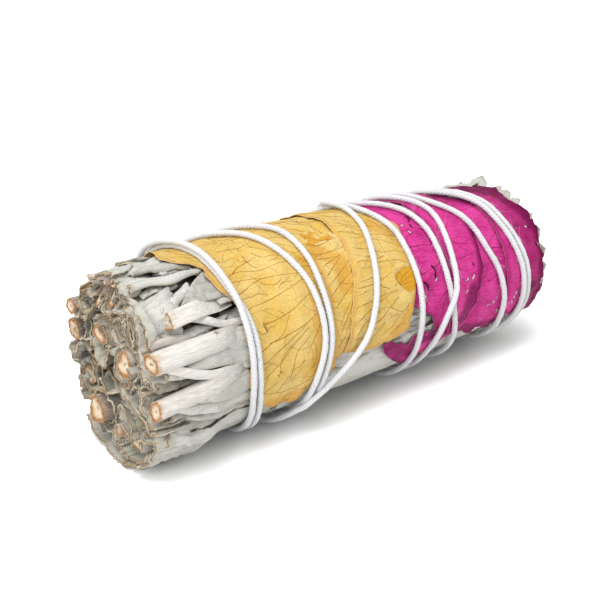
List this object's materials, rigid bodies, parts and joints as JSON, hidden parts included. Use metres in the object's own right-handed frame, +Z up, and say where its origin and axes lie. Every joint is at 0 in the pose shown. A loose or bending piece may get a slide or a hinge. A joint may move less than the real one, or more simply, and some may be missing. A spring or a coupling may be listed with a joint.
{
  "type": "sage smudge stick",
  "caption": "Bundle of dried white sage sprigs wrapped in dried yellow and magenta rose petals and bound with cotton string, its stems cut off at an end.",
  "frame": {"origin": "middle of the bounding box in X and Y, at the surface that the bundle lies on", "axes": "+X along the bundle, from the cut end towards the leaf tips; +Z up; the pictured side faces -Y"},
  "size_m": [0.1052, 0.0425, 0.0396],
  "materials": {
    "sage": "velvety dried leaf, matt",
    "yellow_petal": "dried petal with fine veins, satin",
    "magenta_petal": "dried petal with fine striation, satin",
    "cotton": "twisted cotton string, matt"
  },
  "bodies": {
    "root": {"sage_sprig_01": "sage", "sage_sprig_02": "sage", "sage_sprig_03": "sage", "sage_sprig_04": "sage", "sage_sprig_05": "sage", "sage_sprig_06": "sage", "sage_sprig_07": "sage", "sage_sprig_08": "sage", "sage_sprig_09": "sage", "sage_sprig_10": "sage", "sage_sprig_11": "sage", "sage_sprig_12": "sage", "sage_sprig_13": "sage", "sage_sprig_14": "sage", "yellow_petal_1": "yellow_petal", "yellow_petal_2": "yellow_petal", "yellow_petal_3": "yellow_petal", "yellow_petal_4": "yellow_petal", "magenta_petal_1": "magenta_petal", "magenta_petal_2": "magenta_petal", "magenta_petal_3": "magenta_petal", "magenta_petal_4": "magenta_petal", "magenta_petal_5": "magenta_petal", "magenta_petal_6": "magenta_petal", "cotton_string": "cotton"}
  },
  "joints": []
}
